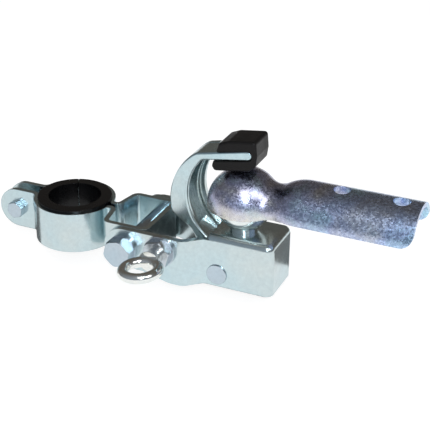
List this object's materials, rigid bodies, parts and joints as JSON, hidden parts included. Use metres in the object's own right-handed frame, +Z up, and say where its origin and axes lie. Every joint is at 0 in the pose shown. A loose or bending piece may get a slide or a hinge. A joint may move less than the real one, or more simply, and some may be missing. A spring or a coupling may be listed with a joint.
{
  "type": "bicycle trailer hitch",
  "caption": "Seat-post clamp with a hinged ball bracket, a sprung over-ball latch and a pressed coupler head that swivels on the ball.",
  "frame": {"origin": "on the axis of the seat-post bore, at half the height of the clamp band", "axes": "+Z up along the seat post, +X from the post along the coupler head towards the trailer, +Y to the side away from the eyebolt"},
  "size_m": [0.2232, 0.085, 0.0762],
  "materials": {
    "zinc_sheet": "bright zinc plated pressed steel with a cool blue-grey tint",
    "zinc_fastener": "zinc plated fastener steel",
    "bright_zinc": "bright plated round steel",
    "passivated_sheet": "mottled iridescent passivated zinc over pressed steel",
    "spring_wire": "drawn spring steel wire",
    "sleeve_plastic": "glossy black moulded plastic",
    "cap_plastic": "satin black moulded plastic",
    "liner_plastic": "natural white low-friction plastic"
  },
  "bodies": {
    "clamp": {"clamp_strap": "zinc_sheet", "reducer_sleeve": "sleeve_plastic", "pinch_bolt": "zinc_fastener", "pinch_nut": "zinc_fastener", "pivot_bolt": "zinc_fastener", "pivot_nut": "zinc_fastener", "pivot_washers": "zinc_fastener"},
    "bracket": {"ball_bracket": "zinc_sheet", "eyebolt": "bright_zinc", "eyebolt_washer": "zinc_fastener", "eyebolt_nut": "zinc_fastener", "ball_stud": "bright_zinc", "stud_washer": "zinc_fastener", "stud_nut": "zinc_fastener", "latch_pin": "zinc_fastener", "pin_spacers": "zinc_fastener", "latch_spring": "spring_wire"},
    "latch": {"latch_yoke": "zinc_sheet", "yoke_doubler": "zinc_sheet", "latch_cap": "cap_plastic"},
    "seat": {"ball_seat_liner": "liner_plastic"},
    "head": {"coupler_head": "passivated_sheet"}
  },
  "joints": [
    {"name": "bracket_tilt", "type": "hinge", "parent": "clamp", "child": "bracket", "pos_m": [0.03924, 0, 0], "axis": [0, -1, 0], "range_deg": [-20, 20]},
    {"name": "latch_open", "type": "hinge", "parent": "bracket", "child": "latch", "pos_m": [0.08655, 0, -0.0073], "axis": [0, -1, 0], "range_deg": [0, 18], "stiffness_Nm_per_rad": 0.4, "springref_deg": -28.65, "deforming": ["latch_spring"]},
    {"name": "head_swivel", "type": "hinge", "parent": "bracket", "child": "seat", "pos_m": [0.09464, 0, 0.02745], "axis": [0, 0, 1], "range_deg": [-90, 90]},
    {"name": "head_pitch", "type": "hinge", "parent": "seat", "child": "head", "pos_m": [0.09464, 0, 0.02745], "axis": [0, -1, 0], "range_deg": [-20, 20]}
  ]
}
